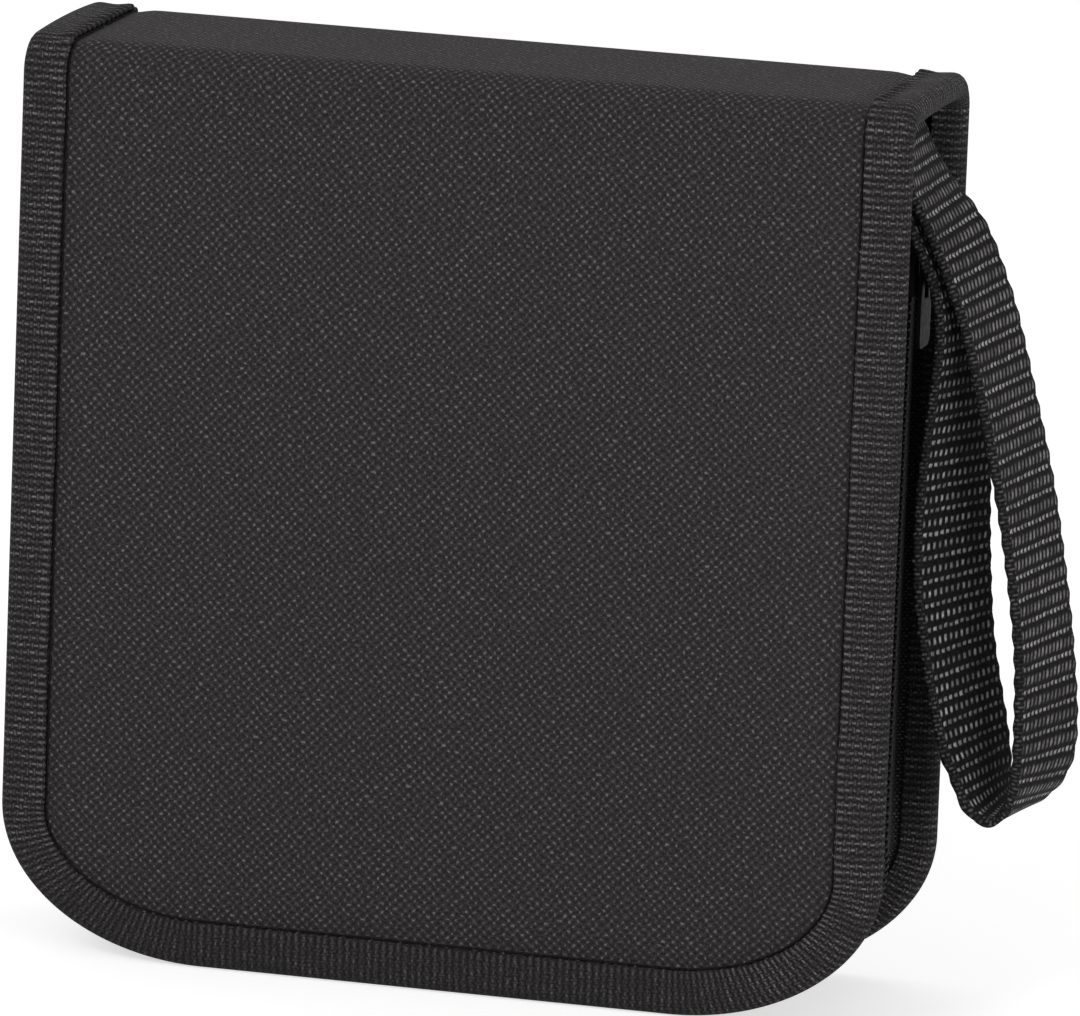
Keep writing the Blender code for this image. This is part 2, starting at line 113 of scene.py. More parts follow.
def addLamp(name, look, aim):
    data = bpy.data.lights.new(name, "AREA")
    data.shape = "RECTANGLE"
    data.size, data.size_y = look["size"]
    data.energy = look["power"]
    lamp = linkObject(name, data)
    lamp.location = look["place"]
    lamp.rotation_euler = (Vector(aim) - Vector(look["place"])).to_track_quat("-Z", "Y").to_euler()


placeCamera(cameraView)
bpy.context.scene.view_settings.view_transform = "Standard"
for name, look in studioLamps.items():
    addLamp(name, look, lampAim)


# Node helpers

def newMaterial(name):
    material = bpy.data.materials.new(name)
    material.use_nodes = True
    tree = material.node_tree
    return material, tree, tree.nodes["Principled BSDF"]


def put(tree, socket, value):
    # links a socket to another node's output, or sets its plain value
    if isinstance(value, bpy.types.NodeSocket):
        tree.links.new(value, socket)
    elif isinstance(value, (tuple, list)) and len(value) == 3 and socket.type == "RGBA":
        socket.default_value = (*value, 1.0)
    else:
        socket.default_value = value


def calc(tree, operation, *values):
    node = tree.nodes.new("ShaderNodeMath")
    node.operation = operation
    for socket, value in zip(node.inputs, values):
        put(tree, socket, value)
    return node.outputs[0]


def product(tree, value, *others):
    for other in others:
        value = calc(tree, "MULTIPLY", value, other)
    return value


def opposite(tree, share):
    return calc(tree, "SUBTRACT", 1.0, share)


def ramp(tree, value, low, high, outLow=0.0, outHigh=1.0):
    # a smooth step from outLow at low to outHigh at high, where low may be the larger of the two
    node = tree.nodes.new("ShaderNodeMapRange")
    node.interpolation_type = "SMOOTHSTEP"
    items = {"Value": value, "From Min": low, "From Max": high, "To Min": outLow, "To Max": outHigh}
    for name, item in items.items():
        put(tree, node.inputs[name], item)
    return node.outputs[0]


def mixColour(tree, share, first, second):
    # the node's colours are its inputs 6 and 7 and its output 2
    node = tree.nodes.new("ShaderNodeMix")
    node.data_type = "RGBA"
    put(tree, node.inputs[0], share)
    put(tree, node.inputs[6], first)
    put(tree, node.inputs[7], second)
    return node.outputs[2]


def mixValue(tree, share, first, second):
    return calc(tree, "ADD", product(tree, first, opposite(tree, share)), product(tree, second, share))


def noise(tree, vector, scale, detail=2.0, roughness=0.5):
    node = tree.nodes.new("ShaderNodeTexNoise")
    put(tree, node.inputs["Vector"], vector)
    node.inputs["Scale"].default_value = scale
    node.inputs["Detail"].default_value = detail
    node.inputs["Roughness"].default_value = roughness
    return node


def bump(tree, shader, height, distance):
    node = tree.nodes.new("ShaderNodeBump")
    node.inputs["Strength"].default_value = 1.0
    node.inputs["Distance"].default_value = distance
    put(tree, node.inputs["Height"], height)
    put(tree, shader.inputs["Normal"], node.outputs["Normal"])


def splitPlace(tree, vector):
    node = tree.nodes.new("ShaderNodeSeparateXYZ")
    put(tree, node.inputs[0], vector)
    return node.outputs


def clothMap(tree):
    node = tree.nodes.new("ShaderNodeUVMap")
    node.uv_map = "cloth"
    return node.outputs["UV"]


def objectPlace(tree):
    return tree.nodes.new("ShaderNodeTexCoord").outputs["Object"]


def makeThreadRows(driftScale=620.0):
    # Threads show in rows of cells, and each row is moved on by half a cell from the one before it.
    # Side and Rise run from 0 in a cell's middle to 1 at its edge, Parity tells odd rows from even ones,
    # and Chance is a value of each cell's own.
    group = bpy.data.node_groups.new("threadRows", "ShaderNodeTree")
    face = group.interface
    face.new_socket("Place", in_out="INPUT", socket_type="NodeSocketVector")
    for name in ("Across", "Row", "Wobble", "Lean"):
        face.new_socket(name, in_out="INPUT", socket_type="NodeSocketFloat")
    for name in ("Side", "Rise", "Parity", "Chance"):
        face.new_socket(name, in_out="OUTPUT", socket_type="NodeSocketFloat")
    source = group.nodes.new("NodeGroupInput").outputs
    sink = group.nodes.new("NodeGroupOutput").inputs
    split = splitPlace(group, source["Place"])
    drift = group.nodes.new("ShaderNodeSeparateColor")
    put(group, drift.inputs[0], noise(group, source["Place"], driftScale).outputs["Color"])
    place = []
    for axis, pitch in enumerate(("Across", "Row")):
        shift = product(group, calc(group, "SUBTRACT", drift.outputs[axis], 0.5), source["Wobble"])
        place.append(calc(group, "ADD", calc(group, "DIVIDE", split[axis], source[pitch]), shift))
    row = calc(group, "ROUND", place[1])
    parity = calc(group, "FLOORED_MODULO", row, 2.0)
    leaning = product(group, calc(group, "SUBTRACT", place[1], row), source["Lean"])
    across = calc(group, "ADD", calc(group, "ADD", place[0], leaning), product(group, parity, 0.5))
    cell = calc(group, "ROUND", across)
    ids = group.nodes.new("ShaderNodeCombineXYZ")
    put(group, ids.inputs[0], cell)
    put(group, ids.inputs[1], row)
    chance = group.nodes.new("ShaderNodeTexWhiteNoise")
    chance.noise_dimensions = "2D"
    put(group, chance.inputs["Vector"], ids.outputs[0])
    for name, value, middle in (("Side", across, cell), ("Rise", place[1], row)):
        away = calc(group, "ABSOLUTE", calc(group, "SUBTRACT", value, middle))
        put(group, sink[name], product(group, away, 2.0))
    put(group, sink["Parity"], parity)
    put(group, sink["Chance"], chance.outputs["Value"])
    return group


threadRows = makeThreadRows()
threadFade = {"long": 0.45, "tall": 0.30}  # the share of a thread's half that is at full strength


def rowsOf(tree, place, across, row, wobble, lean=0.0):
    node = tree.nodes.new("ShaderNodeGroup")
    node.node_tree = threadRows
    put(tree, node.inputs["Place"], place)
    for name, value in (("Across", across), ("Row", row), ("Wobble", wobble), ("Lean", lean)):
        node.inputs[name].default_value = value
    return node.outputs


def thread(tree, side, rise, long, tall):
    # a soft-ended thread that fills the given shares of its cell
    return product(tree, ramp(tree, side, long, long * threadFade["long"]),
                   ramp(tree, rise, tall, tall * threadFade["tall"]))


# Woven cloths

weaveForm = {
    "pitSide": (0.45, 0.80), "pitRise": (0.9, 0.3), "fuzzDetail": 3.0, "fuzzRough": 0.70,
    "dimFuzz": (0.30, 0.62), "dimLeast": 0.35, "groundFuzz": (0.32, 0.66), "fuzzRelief": 0.8,
}
tickForm = {
    "side": (0.72, 0.92), "rise": (1.0, 0.45), "pitSide": (0.75, 0.35), "pitRise": (0.55, 0.95),
    "edge": (1.0 * mm, 0.6 * mm), "loopRise": (0.55, 0.10), "loopGlint": 0.40, "loopPit": (0.60, 0.95),
    # where the painted shade dims the tape's threads, and how much of their painted highlight it leaves
    "paintedShadeHeight": (5 * mm, 26 * mm), "paintedShadePlace": (20 * mm, 58 * mm), "paintedShadeLeast": 0.38,
}


def fuzzOf(tree, place, scale):
    return noise(tree, place, scale, weaveForm["fuzzDetail"], weaveForm["fuzzRough"]).outputs["Fac"]


def addTicks(tree, place, side, rise, lit, strength):
    # Short upright threads join one row's dashes to the next, and the tape's edge has brighter loops, a
    # painted highlight. All are dimmed along the bottom edge, except towards the strap's side, which is a
    # painted shade.
    form = tickForm
    tick = product(tree, ramp(tree, side, *form["side"]), ramp(tree, rise, *form["rise"]), strength)
    lit = calc(tree, "MAXIMUM", lit, tick)
    hollow = product(tree, ramp(tree, rise, *form["pitRise"]), ramp(tree, side, *form["pitSide"]))
    nearEdge = ramp(tree, splitPlace(tree, place)[0], *form["edge"])
    loops = product(tree, nearEdge, ramp(tree, rise, *form["loopRise"], 0.0, form["loopGlint"]))
    lit = calc(tree, "MAXIMUM", lit, loops)
    hollow = calc(tree, "MAXIMUM", hollow, product(tree, nearEdge, ramp(tree, rise, *form["loopPit"])))
    # painted shade: the lit threads are dimmed low on the case and away from the strap's side
    spot = splitPlace(tree, objectPlace(tree))
    unshaded = calc(tree, "MAXIMUM", ramp(tree, spot[2], *form["paintedShadeHeight"]),
                 ramp(tree, spot[0], *form["paintedShadePlace"]))
    return product(tree, lit, ramp(tree, unshaded, 0.0, 1.0, form["paintedShadeLeast"], 1.0)), hollow


def wovenMaterial(name, look):
    # Dots or dashes of the raised thread lie on a mottled ground, in a lighter colour that is a painted
    # highlight on the thread tops; dark pits lie between them, a painted shade in the hollows
    form = weaveForm
    material, tree, shader = newMaterial(name)
    place = clothMap(tree)
    side, rise, _, chance = rowsOf(tree, place, look["across"], look["row"], look["wobble"])
    fuzz = fuzzOf(tree, place, look["fuzzScale"])
    rare = ramp(tree, calc(tree, "POWER", chance, look["rare"]), 0.0, 1.0, look["least"], 1.0)
    strength = product(tree, rare, ramp(tree, fuzz, *form["dimFuzz"], form["dimLeast"], 1.0))
    lit = product(tree, thread(tree, side, rise, look["long"], look["tall"]), strength)
    hollow = product(tree, ramp(tree, side, *form["pitSide"]), ramp(tree, rise, *form["pitRise"]))
    if look["ticks"]:
        lit, hollow = addTicks(tree, place, side, rise, lit, product(tree, strength, look["ticks"]))
    ground = mixColour(tree, ramp(tree, fuzz, *form["groundFuzz"]), look["deep"], look["ground"])
    # the pits take the deep colour: a painted shade in the hollows between threads
    ground = mixColour(tree, product(tree, hollow, look["pitShade"]), ground, look["deep"])
    # the thread tops take the lighter colour: a painted highlight
    put(tree, shader.inputs["Base Color"], mixColour(tree, lit, ground, look["threadGlint"]))
    shader.inputs["Roughness"].default_value = look["rough"]
    shader.inputs["Specular IOR Level"].default_value = look["specular"]
    height = calc(tree, "ADD", calc(tree, "SUBTRACT", lit, hollow), product(tree, fuzz, form["fuzzRelief"]))
    bump(tree, shader, height, look["bump"])
    return material


# the thread tops' light colour is a painted highlight, and the pit share sets how strongly the painted shade
# fills the hollows
coverLook = {
    "across": 1.66 * mm, "row": 0.84 * mm, "long": 0.33, "tall": 0.72, "wobble": 0.90, "fuzzScale": 2300.0,
    "rare": 1.1, "least": 0.34, "ticks": 0.0, "pitShade": 0.70,
    "deep": (0.0155, 0.0141, 0.0146), "ground": (0.0575, 0.0526, 0.0541), "threadGlint": (0.215, 0.202, 0.206),
    "rough": 0.85, "specular": 0.12, "bump": 0.09 * mm,
}
tapeLook = {
    "across": 1.41 * mm, "row": 1.30 * mm, "long": 0.70, "tall": 0.40, "wobble": 0.55, "fuzzScale": 2300.0,
    "rare": 1.3, "least": 0.30, "ticks": 0.50, "pitShade": 0.75,
    "deep": (0.0085, 0.0078, 0.0080), "ground": (0.0400, 0.0368, 0.0378), "threadGlint": (0.270, 0.254, 0.259),
    "rough": 0.85, "specular": 0.12, "bump": 0.12 * mm,
}
# the zip tape's ground and thread tops are lighter than the binding tape's, a painted light that makes up for
# the shade of the recess it sits in
zipTapeLook = {
    **tapeLook, "across": 1.00 * mm, "row": 0.60 * mm, "wobble": 0.45, "ticks": 0.0, "bump": 0.05 * mm,
    "ground": (0.047, 0.0432, 0.0444), "threadGlint": (0.330, 0.310, 0.316),
}
liningLook = {
    **coverLook, "across": 0.80 * mm, "row": 0.50 * mm, "wobble": 0.30, "fuzzScale": 1500.0,
    "deep": (0.008, 0.0075, 0.0077), "ground": (0.020, 0.0185, 0.0190), "threadGlint": (0.055, 0.051, 0.053),
    "rough": 0.75, "specular": 0.25, "bump": 0.04 * mm,
}
coverCloth = wovenMaterial("coverCloth", coverLook)
bindingCloth = wovenMaterial("bindingCloth", tapeLook)
zipCloth = wovenMaterial("zipCloth", zipTapeLook)
liningCloth = wovenMaterial("liningCloth", liningLook)


# Strap webbing

webbingLook = {
    "width": 20 * mm, "row": 2.0 * mm, "wobble": 0.26, "least": 0.40, "fuzzScale": 1500.0,
    "outer": {"across": 1.33 * mm, "lean": 0.40, "long": 0.70, "tall": 0.98},
    "inner": {"across": 1.48 * mm, "lean": 0.12, "long": 0.58, "tall": 0.72},
    "knotLong": 0.78, "knotTall": 0.50, "selvage": 1.3 * mm, "selvageFade": (0.8, 1.3),
    "loops": {"across": 1.3 * mm, "row": 0.75 * mm, "wobble": 0.3},
    "loopLong": 0.9, "loopTall": 0.7, "loopGlint": (0.05, 0.32),
    # the dash and knot colours are painted highlights on the threads, brighter on the loop's inside as painted
    # light on its lit inner face
    "deep": (0.0050, 0.0047, 0.0048), "ground": (0.0230, 0.0213, 0.0219), "dashGlint": (0.350, 0.332, 0.338),
    "insideDashHighlight": (0.680, 0.653, 0.662), "threadGlint": (0.640, 0.614, 0.622),
    "dimFuzz": (0.30, 0.60), "dimLeast": 0.4, "groundFuzz": (0.3, 0.7), "fuzzRelief": 0.5,
    "rough": 0.75, "specular": 0.05, "bump": 0.20 * mm,
}


def webbingMaterial(name, look):
    # Rows of short knots take turns with rows of upright dashes, with a dark furrow after each pair; knots and
    # dashes are coloured lighter than the ground as a painted highlight. The dashes are long on the loop's
    # outside, short and brighter still on its inside, a painted highlight for the lit inner face, where the
    # map runs on past the width. The woven edges are plainer, with small loops that carry a painted highlight
    # too.
    material, tree, shader = newMaterial(name)
    width = look["width"]
    place = clothMap(tree)
    across = splitPlace(tree, place)[0]
    inside = ramp(tree, across, width, width + mm)
    faces = []
    for face in (look["outer"], look["inner"]):
        rows = rowsOf(tree, place, face["across"], look["row"], look["wobble"], face["lean"])
        side, rise, parity, chance = rows
        dashes = product(tree, thread(tree, side, rise, face["long"], face["tall"]), opposite(tree, parity))
        knots = product(tree, thread(tree, side, rise, look["knotLong"], look["knotTall"]), parity)
        faces.append((dashes, knots, chance))
    dashes, knots, chance = (mixValue(tree, inside, *pair) for pair in zip(*faces))
    fuzz = fuzzOf(tree, place, look["fuzzScale"])
    onFace = calc(tree, "PINGPONG", across, width)
    fromMiddle = calc(tree, "ABSOLUTE", calc(tree, "SUBTRACT", onFace, width / 2))
    inner = ramp(tree, fromMiddle, *(width / 2 - look["selvage"] * share for share in look["selvageFade"]))
    varied = product(tree, ramp(tree, chance, 0.0, 1.0, look["least"], 1.0),
                     ramp(tree, fuzz, *look["dimFuzz"], look["dimLeast"], 1.0), inner)
    colour = mixColour(tree, ramp(tree, fuzz, *look["groundFuzz"]), look["deep"], look["ground"])
    # painted highlight: the dashes on the loop's inside are brighter than on its outside
    dashGlint = mixColour(tree, inside, look["dashGlint"], look["insideDashHighlight"])
    colour = mixColour(tree, product(tree, dashes, varied), colour, dashGlint)
    colour = mixColour(tree, product(tree, knots, varied), colour, look["threadGlint"])
    side, rise, _, chance = rowsOf(tree, place, **look["loops"])
    loops = product(tree, thread(tree, side, rise, look["loopLong"], look["loopTall"]), opposite(tree, inner),
                    ramp(tree, chance, 0.0, 1.0, *look["loopGlint"]))
    put(tree, shader.inputs["Base Color"], mixColour(tree, loops, colour, look["dashGlint"]))
    shader.inputs["Roughness"].default_value = look["rough"]
    shader.inputs["Specular IOR Level"].default_value = look["specular"]
    raised = calc(tree, "ADD", dashes, knots)
    rough = calc(tree, "ADD", loops, product(tree, fuzz, look["fuzzRelief"]))
    bump(tree, shader, calc(tree, "ADD", raised, rough), look["bump"])
    return material


strapWebbing = webbingMaterial("strapWebbing", webbingLook)


# Plain finishes

cloudForm = {"detail": 4.0, "rough": 0.55, "range": (0.3, 0.7), "smoother": 0.06, "rougher": 0.08}
plainLooks = {
    "coilNylon": {"colour": (0.009, 0.0083, 0.0085), "rough": 0.65, "mottle": 0.15, "scale": 500.0,
                  "relief": 0.01 * mm, "specular": 0.18},
    "sliderMetal": {"colour": (0.0075, 0.0070, 0.0072), "rough": 0.60, "mottle": 0.12, "scale": 900.0,
                    "relief": 0.006 * mm, "specular": 0.10},
    "pageEdges": {"colour": (0.030, 0.030, 0.032), "rough": 0.70, "mottle": 0.25, "scale": 700.0,
                  "relief": 0.05 * mm, "specular": 0.5},
    "boardFibre": {"colour": (0.200, 0.190, 0.175), "rough": 0.90, "mottle": 0.20, "scale": 400.0,
                   "relief": 0.03 * mm, "specular": 0.5},
    "foamSheet": {"colour": (0.120, 0.120, 0.120), "rough": 0.95, "mottle": 0.20, "scale": 1500.0,
                  "relief": 0.08 * mm, "specular": 0.5},
    # the stitch thread is darker than the tape: real stitching whose dark colour also paints the shade of the
    # ditch it lies in
    "threadNylon": {"colour": (0.0150, 0.0138, 0.0142), "rough": 0.85, "mottle": 0.45, "scale": 1800.0,
                    "relief": 0.03 * mm, "specular": 0.05},
    "sleeveFilm": {"colour": (0.040, 0.041, 0.045), "rough": 0.22, "mottle": 0.10, "scale": 60.0,
                   "relief": 0.05 * mm, "specular": 0.6},
}


def plainMaterial(name, look):
    # a soft cloud makes the colour darker and lighter, the surface smoother and rougher, and a fine relief
    material, tree, shader = newMaterial(name)
    place = objectPlace(tree)
    cloud = noise(tree, place, look["scale"], cloudForm["detail"], cloudForm["rough"]).outputs["Fac"]
    darker = tuple(c * (1 - look["mottle"]) for c in look["colour"])
    lighter = tuple(c * (1 + look["mottle"]) for c in look["colour"])
    spots = ramp(tree, cloud, *cloudForm["range"])
    put(tree, shader.inputs["Base Color"], mixColour(tree, spots, darker, lighter))
    smoothest = look["rough"] - cloudForm["smoother"]
    roughest = look["rough"] + cloudForm["rougher"]
    put(tree, shader.inputs["Roughness"], ramp(tree, cloud, *cloudForm["range"], smoothest, roughest))
    shader.inputs["Specular IOR Level"].default_value = look["specular"]
    bump(tree, shader, cloud, look["relief"])
    return material


plainFinish = {name: plainMaterial(name, look) for name, look in plainLooks.items()}


# Floor and backdrop

stageLook = {"half": 6.0, "colour": (0.86, 0.86, 0.86), "rough": 0.9, "glow": 0.62, "fill": 0.30}
white = (1, 1, 1, 1)


def seenDirectly(tree):
    # 1 where the camera sees the surface, also in gloss or through glass, and 0 where it only lights the case
    light = tree.nodes.new("ShaderNodeLightPath").outputs
    seen = calc(tree, "MAXIMUM", light["Is Camera Ray"], light["Is Glossy Ray"])
    return calc(tree, "MAXIMUM", seen, light["Is Transmission Ray"])


def makeStage(look):
    half = look["half"]
    corners = [(-half, -half, 0), (half, -half, 0), (half, half, 0), (-half, half, 0)]
    mesh = bpy.data.meshes.new("studioFloor")
    mesh.from_pydata(corners, [], [(0, 1, 2, 3)])
    floor = linkObject("studioFloor", mesh)
    material, tree, shader = newMaterial("studioFloor")
    shader.inputs["Base Color"].default_value = (*look["colour"], 1)
    shader.inputs["Roughness"].default_value = look["rough"]
    shader.inputs["Emission Color"].default_value = white
    put(tree, shader.inputs["Emission Strength"], product(tree, seenDirectly(tree), look["glow"]))
    mesh.materials.append(material)
    world = bpy.data.worlds.new("studioWorld")
    bpy.context.scene.world = world
    world.use_nodes = True
    tree = world.node_tree
    background = tree.nodes["Background"]
    background.inputs["Color"].default_value = white
    put(tree, background.inputs["Strength"], ramp(tree, seenDirectly(tree), 0.0, 1.0, look["fill"], 1.0))


makeStage(stageLook)
print("camera, light and materials are ready")


# Surface helpers

def addSurface(name, points, uv, material, slot, closeAcross=False, capEnds=False):
    # points is a grid, rows along the piece and columns across it; closeAcross joins the last column to the
    # first, and capEnds closes the first and the last row with a face each
    rows, columns = points.shape[:2]
    index = np.arange(rows * columns).reshape(rows, columns)
    right = np.roll(index, -1, axis=1) if closeAcross else index[:, 1:]
    left = index if closeAcross else index[:, :-1]
    quads = np.stack([left[:-1], right[:-1], right[1:], left[1:]], axis=-1).reshape(-1, 4)
    quadUv = uv.reshape(-1, 2)[quads]
    if closeAcross:
        # the last column's quads run on past the section's end instead of back to its start
        grid = quads.reshape(rows - 1, columns, 4)
        wrapUv = uv.reshape(-1, 2)[grid[:, -1]]
        step = np.linalg.norm(points[:, 0] - points[:, -1], axis=1).mean()
        wrapUv[:, 1, 0] = wrapUv[:, 0, 0] + step
        wrapUv[:, 2, 0] = wrapUv[:, 3, 0] + step
        quadUv = quadUv.reshape(rows - 1, columns, 4, 2)
        quadUv[:, -1] = wrapUv
        quadUv = quadUv.reshape(-1, 4, 2)
    faces = quads.tolist()
    loopUv = quadUv.reshape(-1, 2)
    if capEnds:
        ends = [index[0, ::-1], index[-1]]
        faces += [end.tolist() for end in ends]
        loopUv = np.vstack([loopUv] + [uv.reshape(-1, 2)[end] for end in ends])
    mesh = bpy.data.meshes.new(name)
    mesh.from_pydata(points.reshape(-1, 3), [], faces)
    mesh.uv_layers.new(name="cloth").data.foreach_set("uv", loopUv.astype(np.float32).ravel())
    mesh.materials.append(material)
    mesh.update()
    mesh.shade_smooth()
    piece = linkObject(name, mesh)
    return piece


def faceOutwards(piece):
    # turns a closed piece's faces out where its signed volume is negative
    mesh = piece.data
    corners = np.zeros(len(mesh.vertices) * 3)
    mesh.vertices.foreach_get("co", corners)
    corners = corners.reshape(-1, 3)
    mesh.calc_loop_triangles()
    tris = np.zeros(len(mesh.loop_triangles) * 3, dtype=np.int32)
    mesh.loop_triangles.foreach_get("vertices", tris)
    a, b, c = (corners[tris.reshape(-1, 3)[:, k]] for k in range(3))
    if np.einsum("ij,ij->i", a, np.cross(b, c)).sum() < 0:
        mesh.flip_normals()
    return piece


def thicken(piece, thickness, offset=-1.0, rim=True):
    solid = piece.modifiers.new("clothThickness", "SOLIDIFY")
    solid.thickness = thickness
    solid.offset = offset
    solid.use_rim = rim
    return piece


def loopSection(middle, thickness, capSteps=4):
    # A flat strip's section as a closed loop: the middle line moved out by half the thickness on both sides,
    # with a half circle round each end
    middle = np.asarray(middle, float)
    along = directions(middle)
    out = np.stack([-along[:, 1], along[:, 0]], axis=1)
    half = thickness / 2
    angles = np.linspace(0, np.pi, capSteps + 2)[1:-1, None]
    endCap = middle[-1] + half * (np.cos(angles) * out[-1] + np.sin(angles) * along[-1])
    startCap = middle[0] - half * (np.cos(angles) * out[0] + np.sin(angles) * along[0])
    return np.vstack([middle + out * half, endCap, (middle - out * half)[::-1], startCap])


def directions(points):
    # the unit direction along a line at each of its points
    along = np.gradient(points, axis=0)
    return along / np.linalg.norm(along, axis=1)[:, None]


def arcLength(points):
    steps = np.linalg.norm(np.diff(points, axis=0), axis=1)
    return np.concatenate([[0.0], np.cumsum(steps)])


def resample(points, spacing):
    length = arcLength(points)
    count = max(2, int(round(length[-1] / spacing)) + 1)
    even = np.linspace(0, length[-1], count)
    return np.stack([np.interp(even, length, points[:, k]) for k in range(points.shape[1])], axis=1)


def ease(value, low, high):
    # a smooth step from 0 at low to 1 at high
    share = np.clip((value - low) / (high - low), 0, 1)
    return share * share * (3 - 2 * share)


def waves(length, parts, starts):
    # a sum of sine waves along a length; a part is its height and its rate in radians a metre
    return sum(height * np.sin(length * rate + start) for (height, rate), start in zip(parts, starts))


# The edge of a cover, which the binding and the zip follow

def halfEdge(spacing):
    # Left half of a cover's edge: over the spine, round its edge, down the side, round the corner, along the
    # bottom. Each place has its base on the outline, the direction inwards and the direction of depth.
    run, rise, radius = caseForm["cornerRun"], caseForm["cornerRise"], caseForm["spineRadius"]
    flat = halfDepth - radius
    centre = halfWidth - run
    corner = math.pi / 4 * (run + rise)
    lengths = np.array([flat, math.pi / 2 * radius, hingeHeight - rise, corner, centre])
    counts = np.maximum(np.round(lengths / spacing).astype(int), 2)
    shares = [np.linspace(0, 1, n, endpoint=False) for n in counts]
    last = len(counts) - 1
    region = np.concatenate([np.full(n, k) for k, n in enumerate(counts)] + [[last]])
    t = np.concatenate(shares + [[1.0]])
    turn = t * math.pi / 2
    cos, sin, one, nought = np.cos(turn), np.sin(turn), np.ones_like(t), np.zeros_like(t)
    down = hingeHeight + (rise - hingeHeight) * t

    def choose(*items):
        return np.choose(region, [item * one for item in items])

    base = np.stack([
        choose(-halfWidth, -halfWidth, -halfWidth, -centre - run * cos, -centre + centre * t),
        choose(flat * t, flat + radius * sin, halfDepth, halfDepth, halfDepth),
        choose(caseForm["height"], hingeHeight + radius * cos, down, rise - rise * sin, nought),
    ], axis=1)
    inwards = np.stack([
        choose(1, 1, 1, cos, nought),
        nought,
        choose(nought, nought, nought, sin, 1),
    ], axis=1)
    deeper = np.stack([
        nought,
        choose(nought, -sin, -1, -1, -1),
        choose(-1, -cos, nought, nought, nought),
    ], axis=1)
    return base, inwards, deeper


def coverEdge(side, spacing):
    # The whole edge of the front (side -1) or back (side 1) cover: the left half and its mirror image
    parts = []
    for part in halfEdge(spacing):
        mirrored = part[::-1][1:] * np.array([-1, 1, 1])
        parts.append(np.vstack([part, mirrored]) * np.array([1, side, 1]))
    base, inwards, deeper = parts
    base = base + np.array([caseX, 0, 0])
    return base, inwards, deeper, arcLength(base)


def readEdge(edge, places):
    # an edge's base, inwards and deeper at any lengths along it
    *parts, length = edge
    return [np.stack([np.interp(places, length, part[:, k]) for k in range(3)], axis=-1) for part in parts]


def sweepEdge(edge, section):
    # A section of (inset, depth) pairs carried along a cover's edge; it may change from place to place
    base, inwards, deeper, length = edge
    points = base[:, None] + section[..., :1] * inwards[:, None] + section[..., 1:] * deeper[:, None]
    steps = np.linalg.norm(np.diff(section, axis=1), axis=2)
    across = np.concatenate([np.zeros((len(base), 1)), np.cumsum(steps, axis=1)], axis=1)
    uv = np.stack([across, np.broadcast_to(length[:, None], across.shape)], axis=2)
    return points, uv


def fold(piece):
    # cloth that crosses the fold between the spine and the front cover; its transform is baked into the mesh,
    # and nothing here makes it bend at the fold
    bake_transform(piece)


# Outer cloth over the covers and the spine

clothForm = {
    "thickness": 0.7 * mm, "edgeDepth": 1.05 * mm, "faceDepth": 0.40 * mm, "firstInset": 1.4 * mm,
    "riseFrom": 7.7 * mm, "riseTo": 12.8 * mm, "spacing": 1.3 * mm, "crowding": 0.35,
    "crown": 0.35 * mm, "crownTo": 50 * mm, "ripple": 0.10 * mm, "rippleTo": 20 * mm, "rippleAfter": 30 * mm,
}
liningForm = {
    **clothForm, "thickness": 0.5 * mm, "edgeDepth": 2.20 * mm, "faceDepth": 5.20 * mm,
    "riseFrom": 8.9 * mm, "riseTo": 11.3 * mm, "crown": 0.0, "ripple": 0.12 * mm,
}
rippleForm = {"long": (61, 23, 47, 17), "short": (130, 91, 118), "shortShare": 0.6}
mapShift = {"across": 0.2, "down": 0.5}  # keeps the whole of a cover's cloth map above nought


def insetOf(x, z, steps=26):
    # How far a point of a cover lies in from its outline: from the side, from the bottom, or inside a corner
    # the inset whose quarter ellipse passes through it, found by halving
    run, rise = caseForm["cornerRun"], caseForm["cornerRise"]
    ax, az = np.abs(x) - (halfWidth - run), rise - z
    low, high = np.zeros_like(ax), np.full_like(ax, rise * nearlyOne)
    for _ in range(steps):
        guess = (low + high) / 2
        outside = (ax / (run - guess)) ** 2 + (az / (rise - guess)) ** 2 > 1
        high = np.where(outside, guess, high)
        low = np.where(outside, low, guess)
    corner = (low + high) / 2
    fromBottom = np.where(ax > 0, halfWidth, z)  # above a corner only the side counts
    straight = np.minimum(halfWidth - np.abs(x), fromBottom)
    return np.where((ax > 0) & (az > 0), corner, straight)


def bottomOf(x, inset):
    # the height of the outline's lower edge, moved in by the inset
    run, rise = caseForm["cornerRun"], caseForm["cornerRise"]
    over = np.clip((np.abs(x) - (halfWidth - run)) / (run - inset), 0, 1)
    return rise - (rise - inset) * np.sqrt(1 - over**2)


def rippleOf(x, z, side):
    # Long waves that cross each other, and a share of short ones; the rates are in radians a metre
    a, b, c, d = rippleForm["long"]
    long = np.sin(x * a + z * b + side) * np.sin(z * c - x * d)
    a, b, c = rippleForm["short"]
    return long + rippleForm["shortShare"] * np.sin(x * a - z * b) * np.sin(z * c)


